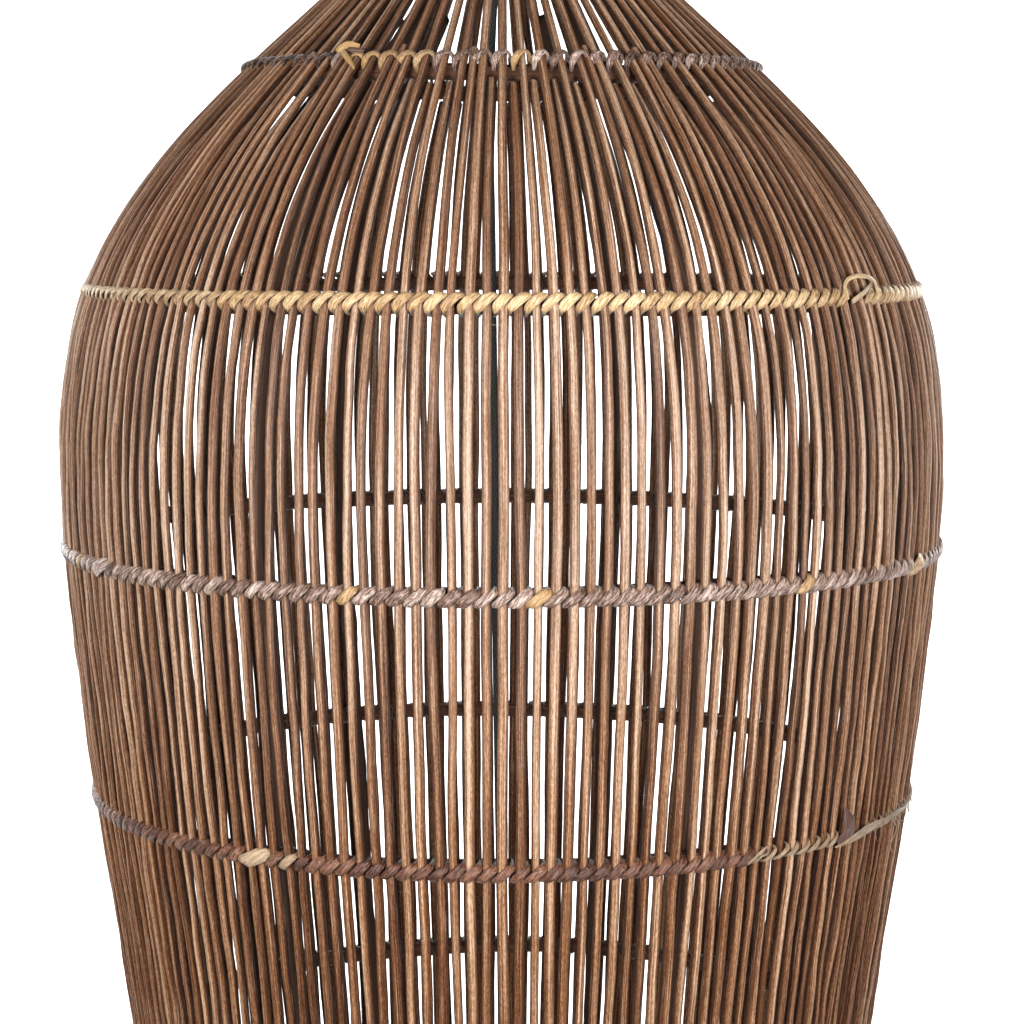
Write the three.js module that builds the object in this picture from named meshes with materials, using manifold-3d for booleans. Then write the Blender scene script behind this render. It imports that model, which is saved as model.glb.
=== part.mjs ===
// Rattan cage pendant lamp: a tall lashed-cane shade hung on a textile cord from a ceiling rose.
// Units are millimetres, +Z is up, and the origin is the middle of the rose's ceiling face.
import * as THREE from 'three';
import { mergeVertices } from 'three/addons/utils/BufferGeometryUtils.js';
import Module from 'manifold-3d';

const wasm = await Module();
wasm.setup();

// ---- driving dimensions -------------------------------------------------------------------------
const GAP = 0.3;

const NECK_TOP = -252;
const SHORT_CANE_TOP = -302;
const PANEL_TOP = -377;
const HOOP_Z = { upper: -312, shoulder: -388, high: -534, waist: -709, low: -879, foot: -1065, rim: -1238 };

// outside of the cane layer, as [height, radius] from the neck down to the rim
const PROFILE = [
  [NECK_TOP, 50], [HOOP_Z.upper, 95], [PANEL_TOP, 166], [-440, 228], [-500, 271], [-570, 295], [-660, 303],
  [-780, 294.5], [-1250, 231],
];
const PANELS = 12;
const CANES_PER_PANEL = 15;
const CANE = 6.4;
const CANE_PHASE = -0.0117;
const CANE_HALF = 2.8;
const SHORT_CANE_HALF = 2.6;
const NECK_CANE_HALF = 2.4;
const FLUTE = 4.4;

// the hidden end of a cane above the panel, which is sunk into the panel
const TONGUE = { length: 5, half: 1, inset: 2 };

// HOOP_R takes in the peel that is wound round the rod
const HOOP_R = 6;
const HOOP_GAP = 0.8;
const HOOP_DEPTH = CANE + HOOP_GAP + HOOP_R;
const HOOP_SIDES = 5;
const HOOP_FACETS = 36;
const FACET = (2 * Math.PI) / HOOP_FACETS;
const NECK_RING_Z = -262;
const NECK_RING_R = 38.6;
const NECK_ROD_R = 4.8;

const BAND_HALF = 6;
const BAND_THICK = 1.6;
const BAND_GAP = 0.9;
const NECK_LASHING_Z = -259;

const RIB_AZIMUTHS = [26, 72, 116, 162, 207, 233, 282, 328];
const RIB_R = 5.3;
const RIB_CLEARANCE = 2.2;
const RIB_DEPTH = HOOP_DEPTH + HOOP_R + RIB_R + RIB_CLEARANCE;
const RIB_TOP = -326;
const RIB_FOOT = -1246;

const CORD_R = 3;
const BEND_R = 3;
const BEND_TOP_Z = -55;
const BEND_LOW_Z = -287;
const BEND_TO_CORD = 4;
const ROSE_CORD_FOOT = -51;
const UPPER_CORD_FOOT = -275;

const GRIP_BORE_R = 3.3;
const GRIP_THREAD_R = 5;
const GRIP_HOLE_R = 5.3;

const ROSE_R = 50;
const ROSE_DEPTH = 30;
const ROSE_WALL = 1.4;
const SIDE_SCREW_Z = -9;
const SIDE_SCREW_R = 1.7;
const SIDE_SCREW_TIP = 43;
const SIDE_SCREW_HOLE_R = 2;
const BRACKET_HALF = 46;
const BRACKET_WIDTH = 20;
const BRACKET_STOCK = 1.5;
const BRACKET_TAB = 16;
const FIXING_X = 30;
const FIXING_R = 2.2;
const TERMINAL_HALF = [13, 8];
const TERMINAL_FOOT = -14;
const TERMINAL_PITCH = 8;
const TERMINAL_WAY = { radius: 1.6, depth: 6, y: 3 };

const PLATE_Z = -270.6;
const PLATE_THICK = 3;
const PLATE_HUB = 14;
const PLATE_ARM_HALF = 6;
const PLATE_REACH = 41;
const NUT_THICK = 4.6;

const HOLDER_GRIP_TOP = -1058;
const HOLDER_CAP_TOP = -1070;
const HOLDER_CAP_FOOT = -1090;
const INSERT_FOOT = -1091;
const CONTACT_FOOT = -1094.4;
const HOLDER_FOOT = -1124;
const LAMP_CAP_TOP = -1100.6;
const THREAD_PITCH = 3.62;
const THREAD_TURNS = 6;
const THREAD_R = [12.2, 13.1];
const GLASS_WALL = 1;

const root = new THREE.Group();
root.name = 'rattan_cage_pendant';

// ---- helpers ------------------------------------------------------------------------------------
const paint = (color, roughness, metalness = 0) => ({ color, roughness, metalness });
const CANE_LOOK = paint(0x967050, 0.7);
const HOOP_LOOK = paint(0x4a2f22, 0.85);
const RIB_LOOK = paint(0x3c271d, 0.9);
const STRAW_LOOK = paint(0xdcb982, 0.75);
const GREY_LOOK = paint(0x8f8071, 0.8);
const RUSSET_LOOK = paint(0x6e412d, 0.8);
const CORD_LOOK = paint(0x262a2a, 0.95);
const STEEL_LOOK = paint(0xb8b9b7, 0.35, 1);
const BRASS_LOOK = paint(0xc29a55, 0.35, 1);
const BLACK_LOOK = paint(0x1d1d1e, 0.55);
const CERAMIC_LOOK = paint(0xeceae4, 0.4);
const GLASS_LOOK = { color: 0xfff4e0, roughness: 0.08, metalness: 0, transparent: true, opacity: 0.4 };

function add(name, geometry, look) {
  const mesh = new THREE.Mesh(geometry, new THREE.MeshStandardMaterial(look));
  mesh.name = name;
  root.add(mesh);
  return mesh;
}

function indexed(geometry) {
  const copy = geometry.clone();
  copy.deleteAttribute('normal');
  copy.deleteAttribute('uv');
  return mergeVertices(copy, 1e-4);
}

function solid(geometry) {
  const g = indexed(geometry);
  return new wasm.Manifold(new wasm.Mesh({
    numProp: 3,
    vertProperties: new Float32Array(g.attributes.position.array),
    triVerts: new Uint32Array(g.index.array),
  }));
}

function geometryOf(manifold) {
  const m = manifold.getMesh();
  const g = new THREE.BufferGeometry();
  g.setAttribute('position', new THREE.BufferAttribute(new Float32Array(m.vertProperties), 3));
  g.setIndex(new THREE.BufferAttribute(new Uint32Array(m.triVerts), 1));
  g.computeVertexNormals();
  return g;
}

function meshOf(points, triangles) {
  const g = new THREE.BufferGeometry();
  g.setAttribute('position', new THREE.Float32BufferAttribute(points.flat(), 3));
  g.setIndex(triangles.flat());
  g.computeVertexNormals();
  return g;
}

// A closed solid through horizontal loops, listed from the top down. Each loop runs anticlockwise from above.
function loft(loops) {
  const n = loops[0].length;
  const points = loops.flat();
  const triangles = [];
  for (let k = 0; k + 1 < loops.length; k++) {
    for (let i = 0; i < n; i++) {
      const a = k * n + i;
      const b = k * n + (i + 1) % n;
      triangles.push([a, a + n, b], [b, a + n, b + n]);
    }
  }
  const cap = (loop) => THREE.ShapeUtils.triangulateShape(loop.map(([x, y]) => new THREE.Vector2(x, y)), []);
  const last = (loops.length - 1) * n;
  for (const [a, b, c] of cap(loops[0])) triangles.push([a, b, c]);
  for (const [a, b, c] of cap(loops[loops.length - 1])) triangles.push([last + a, last + c, last + b]);
  return meshOf(points, triangles);
}

// A solid of revolution about the vertical. A profile that doesn't start and end on the axis is closed here.
function turned(profile, segments) {
  const outline = profile.map(([r, z]) => new THREE.Vector2(r, z));
  const open = profile[0][0] > 0 || profile[profile.length - 1][0] > 0;
  if (THREE.ShapeUtils.area(outline) < 0) outline.reverse();
  if (open) outline.push(outline[0].clone());
  const g = new THREE.LatheGeometry(outline, segments);
  g.rotateX(Math.PI / 2);
  return g;
}

function regular(cx, cy, radius, sides, turn = 0) {
  const corners = [];
  for (let i = 0; i < sides; i++) {
    const a = turn + (2 * Math.PI * i) / sides;
    corners.push([cx + radius * Math.cos(a), cy + radius * Math.sin(a)]);
  }
  return corners;
}

function extruded(outline, holes, z, height) {
  const shape = new THREE.Shape(outline.map(([x, y]) => new THREE.Vector2(x, y)));
  for (const hole of holes) shape.holes.push(new THREE.Path(hole.map(([x, y]) => new THREE.Vector2(x, y))));
  const g = new THREE.ExtrudeGeometry(shape, { depth: height, bevelEnabled: false, steps: 1 });
  g.translate(0, 0, z);
  return g;
}

const BORE = regular(0, 0, GRIP_HOLE_R, 20).reverse();
const hexNut = (radius, z, height) => extruded(regular(0, 0, radius, 6), [BORE], z, height);

const onAxis = (z) => new THREE.Vector3(0, 0, z);

function tube(points, radius, steps, sides = 10) {
  const section = new THREE.Shape(regular(0, 0, radius, sides).map(([x, y]) => new THREE.Vector2(x, y)));
  const path = new THREE.CatmullRomCurve3(points);
  return new THREE.ExtrudeGeometry(section, { steps, bevelEnabled: false, extrudePath: path });
}

// ---- the cage's shape ---------------------------------------------------------------------------
function spanAt(z) {
  let k = 0;
  while (k + 2 < PROFILE.length && z < PROFILE[k + 1][0]) k++;
  return [PROFILE[k], PROFILE[k + 1]];
}

function radiusAt(z) {
  const [[z0, r0], [z1, r1]] = spanAt(z);
  return r0 + ((r1 - r0) * (z - z0)) / (z1 - z0);
}

// how much longer a horizontal depth is than the depth square to the surface
function slopeFactor(z) {
  const step = 12;
  const slope = (radiusAt(z + step) - radiusAt(z - step)) / (2 * step);
  return Math.hypot(1, slope);
}

const around = (r, azimuth, z) => [r * Math.sin(azimuth), -r * Math.cos(azimuth), z];
const degrees = (d) => (d * Math.PI) / 180;

// ---- cane panels --------------------------------------------------------------------------------
const PITCH = (2 * Math.PI) / (PANELS * CANES_PER_PANEL);

// The canes stand apart below and close up, with no grooves between them, at the panel's top.
function panelLoop(first, z) {
  const R = radiusAt(z);
  const f = slopeFactor(z);
  const groove = z < PANEL_TOP ? FLUTE * f : 0;
  const inset = GAP / 2 / R;
  const loop = [];
  for (let i = 0; i <= 2 * CANES_PER_PANEL; i++) {
    const edge = i === 0 ? inset : i === 2 * CANES_PER_PANEL ? -inset : 0;
    loop.push(around(i % 2 ? R : R - groove, first + (i * PITCH) / 2 + edge, z));
  }
  const facets = Math.round((CANES_PER_PANEL * PITCH) / FACET);
  for (let i = facets; i >= 0; i--) {
    const edge = i === 0 ? inset : i === facets ? -inset : 0;
    loop.push(around(R - CANE * f, first + i * FACET + edge, z));
  }
  return loop;
}

function caneSection(azimuth, z, half, inset) {
  const f = slopeFactor(z);
  const inner = radiusAt(z) - (CANE - inset) * f;
  const outer = radiusAt(z) - inset * f;
  return [
    around(inner, azimuth - half / inner, z), around(outer, azimuth - half / outer, z),
    around(outer, azimuth + half / outer, z), around(inner, azimuth + half / inner, z),
  ];
}

// one cane above the panel, with a narrow tongue inside it
function finger(azimuth, rows) {
  const tongue = caneSection(azimuth, PANEL_TOP - TONGUE.length, TONGUE.half, TONGUE.inset);
  return loft([...rows.map(([z, half]) => caneSection(azimuth, z, half, 0)), tongue]);
}

// Every second cane is cut short above the shoulder hoop, and every second of the rest above the upper hoop.
for (let p = 0; p < PANELS; p++) {
  const first = CANE_PHASE + p * CANES_PER_PANEL * PITCH;
  const heights = PROFILE.map(([z]) => z).filter((z) => z <= PANEL_TOP);
  let panel = solid(loft(heights.map((z) => panelLoop(first, z))));
  for (let i = 0; i < CANES_PER_PANEL; i++) {
    const cane = p * CANES_PER_PANEL + i;
    if (cane % 2) continue;
    const top = cane % 4 ? [SHORT_CANE_TOP, SHORT_CANE_HALF] : [NECK_TOP, NECK_CANE_HALF];
    const rows = [top, [HOOP_Z.upper, CANE_HALF], [PANEL_TOP, CANE_HALF]];
    panel = panel.add(solid(finger(first + (i + 0.5) * PITCH, rows)));
  }
  add(`cane_panel_${String(p + 1).padStart(2, '0')}`, geometryOf(panel), CANE_LOOK);
}

// ---- hoops, lashings and ribs -------------------------------------------------------------------
// A hoop's facets lie in line with the panels' inner facets, so the gap between them stays even.
function hoop(r, z, rod) {
  const g = turned(regular(r, z, rod, HOOP_SIDES), HOOP_FACETS);
  g.rotateZ(CANE_PHASE);
  return g;
}

add('neck_ring', hoop(NECK_RING_R, NECK_RING_Z, NECK_ROD_R), HOOP_LOOK);
for (const [name, z] of Object.entries(HOOP_Z)) {
  add(`${name}_hoop`, hoop(radiusAt(z) - HOOP_DEPTH * slopeFactor(z), z, HOOP_R), HOOP_LOOK);
}

function band(z) {
  const f = slopeFactor(z);
  const half = BAND_HALF / f;
  const chord = 1 / Math.cos(Math.PI / HOOP_FACETS);
  const [inner, outer] = [BAND_GAP * f, (BAND_GAP + BAND_THICK) * f];
  const [low, high] = [radiusAt(z - half), radiusAt(z + half)];
  return turned([
    [(low + inner) * chord, z - half], [(low + outer) * chord, z - half],
    [(high + outer) * chord, z + half], [(high + inner) * chord, z + half],
  ], HOOP_FACETS);
}

const LASHING_LOOKS = {
  upper: GREY_LOOK, shoulder: GREY_LOOK, high: STRAW_LOOK, waist: GREY_LOOK, low: RUSSET_LOOK,
  foot: RUSSET_LOOK, rim: STRAW_LOOK,
};
add('neck_lashing', band(NECK_LASHING_Z), GREY_LOOK);
for (const [name, z] of Object.entries(HOOP_Z)) add(`${name}_lashing`, band(z), LASHING_LOOKS[name]);

const ribBends = PROFILE.map(([z]) => z).filter((z) => z < RIB_TOP && z > RIB_FOOT);
RIB_AZIMUTHS.forEach((azimuth, i) => {
  const turn = degrees(azimuth);
  const loops = [RIB_TOP, ...ribBends, RIB_FOOT].map((z) => {
    const f = slopeFactor(z);
    const [cx, cy] = around(radiusAt(z) - RIB_DEPTH * f, turn, z);
    return regular(0, 0, RIB_R, 6).map(([u, v]) => [
      cx + f * u * Math.sin(turn) + v * Math.cos(turn), cy - f * u * Math.cos(turn) + v * Math.sin(turn), z,
    ]);
  });
  add(`rib_${i + 1}`, loft(loops), RIB_LOOK);
});

// ---- ceiling rose -------------------------------------------------------------------------------
function drill(radius, length) {
  const half = length / 2;
  return turned([[0, -half], [radius, -half], [radius, half], [0, half]], 16);
}

// the holes of the two side screws, which face each other across the rose
function drilledAcross(geometry) {
  const tool = drill(SIDE_SCREW_HOLE_R, 2 * ROSE_R + 10);
  tool.rotateY(Math.PI / 2);
  tool.translate(0, 0, SIDE_SCREW_Z);
  return solid(geometry).subtract(solid(tool));
}

const tabInner = BRACKET_HALF - BRACKET_STOCK;
const bracketProfile = [
  [-BRACKET_HALF, -BRACKET_TAB], [-tabInner, -BRACKET_TAB], [-tabInner, -BRACKET_STOCK],
  [tabInner, -BRACKET_STOCK], [tabInner, -BRACKET_TAB], [BRACKET_HALF, -BRACKET_TAB], [BRACKET_HALF, 0],
  [-BRACKET_HALF, 0],
];
const strip = extruded(bracketProfile, [], -BRACKET_WIDTH / 2, BRACKET_WIDTH);
strip.rotateX(Math.PI / 2);
let bracket = drilledAcross(strip);
for (const x of [-FIXING_X, FIXING_X]) {
  const hole = drill(FIXING_R, 10);
  hole.translate(x, 0, 0);
  bracket = bracket.subtract(solid(hole));
}
add('ceiling_bracket', geometryOf(bracket), STEEL_LOOK);

const [boxX, boxY] = TERMINAL_HALF;
const terminalHeight = -BRACKET_STOCK - GAP - TERMINAL_FOOT;
const boxOutline = [[-boxX, -boxY], [boxX, -boxY], [boxX, boxY], [-boxX, boxY]];
let terminals = solid(extruded(boxOutline, [], TERMINAL_FOOT, terminalHeight));
for (const x of [-TERMINAL_PITCH, 0, TERMINAL_PITCH]) {
  const way = drill(TERMINAL_WAY.radius, 2 * TERMINAL_WAY.depth);
  way.translate(x, TERMINAL_WAY.y, TERMINAL_FOOT);
  terminals = terminals.subtract(solid(way));
}
add('terminal_block', geometryOf(terminals), CERAMIC_LOOK);

const cup = turned([
  [GRIP_HOLE_R, -ROSE_DEPTH], [30, -ROSE_DEPTH], [44, -ROSE_DEPTH + 4], [ROSE_R, -ROSE_DEPTH + 13], [ROSE_R, 0],
  [ROSE_R - ROSE_WALL, 0], [ROSE_R - ROSE_WALL, -ROSE_DEPTH + 13.5], [43.2, -ROSE_DEPTH + 5.3],
  [29.8, -ROSE_DEPTH + ROSE_WALL], [GRIP_HOLE_R, -ROSE_DEPTH + ROSE_WALL],
], 28);
add('rose_cup', geometryOf(drilledAcross(cup)), BLACK_LOOK);

for (const side of [-1, 1]) {
  const screw = turned([
    [0, SIDE_SCREW_TIP], [SIDE_SCREW_R, SIDE_SCREW_TIP], [SIDE_SCREW_R, ROSE_R + GAP], [3.6, ROSE_R + GAP],
    [3.2, ROSE_R + 2.2], [0, ROSE_R + 2.6],
  ], 12);
  screw.rotateY((side * Math.PI) / 2);
  screw.translate(0, 0, SIDE_SCREW_Z);
  add(side < 0 ? 'rose_screw_left' : 'rose_screw_right', screw, BRASS_LOOK);
}

// A cord grip: a thread from threadEnd to the seat, and a boot whose outline runs on from the seat.
function grip(threadEnd, seat, boot, segments) {
  const tip = boot[boot.length - 1][1];
  return turned([
    [GRIP_BORE_R, threadEnd], [GRIP_THREAD_R, threadEnd], [GRIP_THREAD_R, seat], [boot[0][0], seat], ...boot,
    [GRIP_BORE_R, tip],
  ], segments);
}

add('rose_cord_grip', grip(-22, -ROSE_DEPTH - GAP, [[8.2, -38], [7.4, -46], [5.6, -50]], 20), BLACK_LOOK);
add('rose_grip_nut', hexNut(9, -ROSE_DEPTH + ROSE_WALL + GAP, 4.8), STEEL_LOOK);
add('rose_cord', tube([onAxis(TERMINAL_FOOT - 0.4), onAxis(ROSE_CORD_FOOT)], CORD_R, 6), CORD_LOOK);

// ---- cord and neck fittings ---------------------------------------------------------------------
const ball = (z) => {
  const g = new THREE.SphereGeometry(BEND_R, 10, 6);
  g.rotateX(Math.PI / 2);
  g.translate(0, 0, z);
  return g;
};
add('upper_cord_bend', ball(BEND_TOP_Z), CORD_LOOK);
add('upper_cord', tube([onAxis(BEND_TOP_Z - BEND_TO_CORD), onAxis(UPPER_CORD_FOOT)], CORD_R, 6), CORD_LOOK);

add('neck_grip', grip(-279, PLATE_Z + GAP, [[9, -260], [7.6, -248], [6, -244]], 20), BLACK_LOOK);
add('neck_grip_nut', hexNut(9.4, PLATE_Z - PLATE_THICK - GAP - NUT_THICK, NUT_THICK), STEEL_LOOK);

// a hub with four arms that reach out under the neck ring
const spider = [];
for (let k = 0; k < 4; k++) {
  const turn = (k * Math.PI) / 2;
  const corners = [
    [PLATE_HUB, -PLATE_ARM_HALF], [PLATE_REACH, -PLATE_ARM_HALF], [PLATE_REACH, PLATE_ARM_HALF],
    [PLATE_HUB, PLATE_ARM_HALF],
  ];
  for (const [u, v] of corners) {
    spider.push([u * Math.cos(turn) - v * Math.sin(turn), u * Math.sin(turn) + v * Math.cos(turn)]);
  }
}
add('neck_plate', extruded(spider, [BORE], PLATE_Z - PLATE_THICK, PLATE_THICK), STEEL_LOOK);

add('lower_cord_bend', ball(BEND_LOW_Z), CORD_LOOK);
const lowerRoute = [
  [0, 0, BEND_LOW_Z - BEND_TO_CORD], [-5, 1, -330], [-8, 1, -390], [-7, 0, -520], [-5, -1, -680],
  [-3, -1, -840], [-1, 0, -980], [0, 0, -1076],
];
const lowerPoints = lowerRoute.map(([x, y, z]) => new THREE.Vector3(x, y, z));
add('lower_cord', tube(lowerPoints, CORD_R, 24, 8), CORD_LOOK);

// ---- lampholder and lamp ------------------------------------------------------------------------
const gripSeat = HOLDER_CAP_TOP + GAP;
const holderBoot = [[8, gripSeat + 5.7], [6, HOLDER_GRIP_TOP]];
add('holder_grip', grip(HOLDER_CAP_TOP - 6, gripSeat, holderBoot, 18), BLACK_LOOK);
add('holder_cap', turned([
  [GRIP_HOLE_R, HOLDER_CAP_TOP], [12, HOLDER_CAP_TOP], [19, HOLDER_CAP_TOP - 4], [21, HOLDER_CAP_TOP - 12],
  [21, HOLDER_CAP_FOOT], [18.4, HOLDER_CAP_FOOT], [18.4, HOLDER_CAP_TOP - 12.5], [17, HOLDER_CAP_TOP - 6],
  [11.5, HOLDER_CAP_TOP - 2.2], [GRIP_HOLE_R, HOLDER_CAP_TOP - 2.2],
], 20), BLACK_LOOK);
add('holder_insert', turned([
  [0, INSERT_FOOT + 7], [17.8, INSERT_FOOT + 7], [17.8, INSERT_FOOT], [0, INSERT_FOOT],
], 24), CERAMIC_LOOK);
add('holder_contact', turned([
  [0, CONTACT_FOOT], [3.6, CONTACT_FOOT], [3.6, INSERT_FOOT - GAP], [0, INSERT_FOOT - GAP],
], 12), BRASS_LOOK);
add('holder_shell', turned([
  [14.2, HOLDER_FOOT], [20, HOLDER_FOOT], [20.6, HOLDER_FOOT + 4], [20.6, HOLDER_CAP_FOOT - GAP],
  [18.1, HOLDER_CAP_FOOT - GAP], [18.1, INSERT_FOOT - 0.4], [14.2, INSERT_FOOT - 0.4],
], 20), BLACK_LOOK);

add('lamp_contact', turned([
  [0, LAMP_CAP_TOP + 0.6], [5.6, LAMP_CAP_TOP + 0.6], [3.2, CONTACT_FOOT - GAP], [0, CONTACT_FOOT - GAP],
], 12), BRASS_LOOK);

const [threadRoot, threadCrest] = THREAD_R;
const threadOuter = [];
for (let k = 0; k < THREAD_TURNS; k++) {
  const z = LAMP_CAP_TOP - 0.4 - k * THREAD_PITCH;
  threadOuter.push([threadRoot, z], [threadCrest, z - THREAD_PITCH / 2]);
}
add('lamp_cap', turned([
  [5, LAMP_CAP_TOP], [9, LAMP_CAP_TOP], ...threadOuter, [threadRoot, HOLDER_FOOT],
  [threadRoot - 1, HOLDER_FOOT], [threadRoot - 1, LAMP_CAP_TOP - 2.4], [5, LAMP_CAP_TOP - 1],
], 16), BRASS_LOOK);

// the glass as [radius, depth under the holder's foot], from its neck to its pole
const GLASS = [
  [12.2, 0.4], [14, 10], [20, 22], [27, 34], [30, 47], [28, 62], [20, 73.5], [9, 79], [0, 80.5],
];
const glassOuter = GLASS.map(([r, depth]) => [r, HOLDER_FOOT - depth]);

// the wall is thinned sideways along the flank, and upward as well over the crown and at the pole
const crown = GLASS.findIndex(([, depth]) => depth > 70);
const pole = GLASS.length - 1;
const glassInner = glassOuter.map(([r, z], i) => {
  const rise = i < crown ? 0 : 0.7 * GLASS_WALL;
  return [Math.max(r - GLASS_WALL, 0), i === pole ? z + GLASS_WALL : z + rise];
});
add('lamp_glass', turned([...glassOuter].reverse().concat(glassInner), 20), GLASS_LOOK);
add('lamp_stem', turned([
  [0, HOLDER_FOOT - 58], [3.4, HOLDER_FOOT - 57], [3.4, HOLDER_FOOT - 18], [5.5, HOLDER_FOOT - 4],
  [9, HOLDER_FOOT - 0.6], [9, HOLDER_FOOT + 2], [0, HOLDER_FOOT + 2],
], 14), CERAMIC_LOOK);

export default root;
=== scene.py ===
import math

import bmesh
import bpy
import numpy as np
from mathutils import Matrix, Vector


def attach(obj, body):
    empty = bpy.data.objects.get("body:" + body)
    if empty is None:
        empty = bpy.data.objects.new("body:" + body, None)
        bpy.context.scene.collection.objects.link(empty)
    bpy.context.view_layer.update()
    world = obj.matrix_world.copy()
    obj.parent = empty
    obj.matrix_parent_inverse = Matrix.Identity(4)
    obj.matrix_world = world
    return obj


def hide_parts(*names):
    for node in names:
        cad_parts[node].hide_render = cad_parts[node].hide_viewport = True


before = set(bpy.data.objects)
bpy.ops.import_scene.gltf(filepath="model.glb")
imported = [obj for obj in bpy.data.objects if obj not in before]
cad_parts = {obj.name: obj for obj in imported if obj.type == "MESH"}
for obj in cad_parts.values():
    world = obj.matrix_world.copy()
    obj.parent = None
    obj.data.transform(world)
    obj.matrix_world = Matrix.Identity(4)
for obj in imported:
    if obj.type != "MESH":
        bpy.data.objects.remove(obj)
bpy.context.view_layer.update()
RNG = np.random.default_rng(41)
TAU = 2 * math.pi

# ---- camera ---------------------------------------------------------------------------------------
camera = bpy.data.objects.new("camera", bpy.data.cameras.new("camera"))
camera.data.lens = 97.5
camera.data.sensor_width = 36
camera.location = (0.0069, -1.917, -0.480)
camera.rotation_euler = (math.radians(90 - 6.24), 0, 0)
bpy.context.scene.collection.objects.link(camera)
bpy.context.scene.camera = camera
bpy.context.scene.view_settings.view_transform = "Standard"


# ---- mesh helpers ---------------------------------------------------------------------------------
def piece(name, verts, quads, tris=(), attrs=None):
    """A new smooth-shaded mesh object with a point attribute for each entry of attrs."""
    quads = np.asarray(quads, np.int32).reshape(-1, 4)
    tris = np.asarray(tris, np.int32).reshape(-1, 3)
    me = bpy.data.meshes.new(name)
    me.vertices.add(len(verts))
    me.vertices.foreach_set("co", np.asarray(verts, np.float32).ravel())
    loops = np.concatenate([quads.ravel(), tris.ravel()])
    me.loops.add(len(loops))
    me.loops.foreach_set("vertex_index", loops)
    starts = np.concatenate([np.arange(len(quads)) * 4, len(quads) * 4 + np.arange(len(tris)) * 3])
    me.polygons.add(len(starts))
    me.polygons.foreach_set("loop_start", starts.astype(np.int32))
    me.polygons.foreach_set("use_smooth", np.ones(len(starts), bool))
    for key, values in (attrs or {}).items():
        values = np.asarray(values, np.float32)
        kind = "FLOAT_VECTOR" if values.ndim == 2 else "FLOAT"
        data = me.attributes.new(key, kind, "POINT").data
        data.foreach_set("vector" if values.ndim == 2 else "value", values.ravel())
    me.update(calc_edges=True)
    me.validate()
    obj = bpy.data.objects.new(name, me)
    bpy.context.scene.collection.objects.link(obj)
    return obj


class Parts:
    """Gathers tubes and lathes into one mesh, with the attributes that the materials read."""

    def __init__(self):
        self.verts, self.quads, self.tris, self.attrs, self.count = [], [], [], {}, 0

    def add(self, verts, quads, tris=(), **attrs):
        verts = np.asarray(verts, float).reshape(-1, 3)
        self.verts.append(verts)
        self.quads.append(np.asarray(quads, np.int64).reshape(-1, 4) + self.count)
        self.tris.append(np.asarray(tris, np.int64).reshape(-1, 3) + self.count)
        for key, value in attrs.items():
            value = np.asarray(value, float)
            if value.ndim == 0:
                value = np.full(len(verts), float(value))
            self.attrs.setdefault(key, []).append(value)
        self.count += len(verts)

    def build(self, name):
        attrs = {key: np.concatenate(values) for key, values in self.attrs.items()}
        quads, tris = np.concatenate(self.quads), np.concatenate(self.tris)
        return piece(name, np.concatenate(self.verts), quads, tris, attrs)


def unit(v):
    return v / np.maximum(np.linalg.norm(v, axis=-1, keepdims=True), 1e-12)


def grid_quads(rows, cols, wrap_rows=False):
    """The faces of a grid of points whose rows are closed rings of cols points."""
    r = np.arange(rows if wrap_rows else rows - 1)
    r, c = (m.ravel() for m in np.meshgrid(r, np.arange(cols), indexing="ij"))
    r1, c1 = (r + 1) % rows, (c + 1) % cols
    return np.stack([r * cols + c, r * cols + c1, r1 * cols + c1, r1 * cols + c], 1)


def ring_angles(sides):
    return np.arange(sides) * TAU / sides


def path_lengths(line):
    """How far along the line each of its points lies."""
    return np.concatenate([[0], np.cumsum(np.linalg.norm(np.diff(line, axis=0), axis=1))])


def per_side(size, n, sides):
    """A half size given as one number, as one for each point, or as one for each point and side."""
    return np.broadcast_to(np.reshape(size, (-1, 1)) if np.ndim(size) == 1 else size, (n, sides))


def swept(parts, line, across, out, half_width, half_depth, sides, closed=False, power=1.0, cap=True,
          **attrs):
    """A tube along line, whose section is an ellipse of those half sizes along across and out."""
    line = np.asarray(line, float)
    n = len(line)
    turn = ring_angles(sides)
    c, s = np.cos(turn), np.sin(turn)
    if power != 1.0:
        c, s = np.sign(c) * abs(c) ** power, np.sign(s) * abs(s) ** power
    w, d = per_side(half_width, n, sides), per_side(half_depth, n, sides)
    verts = line[:, None] + across[:, None] * (w * c)[..., None] + out[:, None] * (d * s)[..., None]
    along = path_lengths(line)
    grain = np.stack(np.broadcast_arrays(np.cos(turn), np.sin(turn), along[:, None]), -1).reshape(-1, 3)
    full = {"grain": grain}
    for key, value in attrs.items():
        value = np.asarray(value, float)
        full[key] = np.repeat(value, sides) if value.ndim == 1 else np.full(n * sides, float(value))
    quads = grid_quads(n, sides, wrap_rows=closed)
    if not closed and cap:
        ends = np.array([verts[0].mean(0), verts[-1].mean(0)])
        ring, last = np.arange(sides), (n - 1) * sides
        tris = [[n * sides, (k + 1) % sides, k] for k in ring]
        tris += [[n * sides + 1, last + k, last + (k + 1) % sides] for k in ring]
        verts = np.concatenate([verts.reshape(-1, 3), ends])
        for key, value in full.items():
            first, final = value[0], value[last]
            if key == "grain":
                first, final = np.array([0, 0, along[0]]), np.array([0, 0, along[-1]])
            full[key] = np.concatenate([value, [first, final]])
        parts.add(verts, quads, tris, **full)
    else:
        parts.add(verts.reshape(-1, 3), quads, **full)


def smooth_noise(x, length, seed):
    """A smooth random curve of x, about -1 to 1, with features of that length."""
    rng = np.random.default_rng(seed)
    total = np.zeros_like(x)
    for k in range(3):
        for _ in range(2):
            phase = TAU * x * 1.83**k / length * rng.uniform(0.75, 1.3) + rng.uniform(0, TAU)
            total += np.sin(phase) * 0.45 / 1.7**k
    return total


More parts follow.
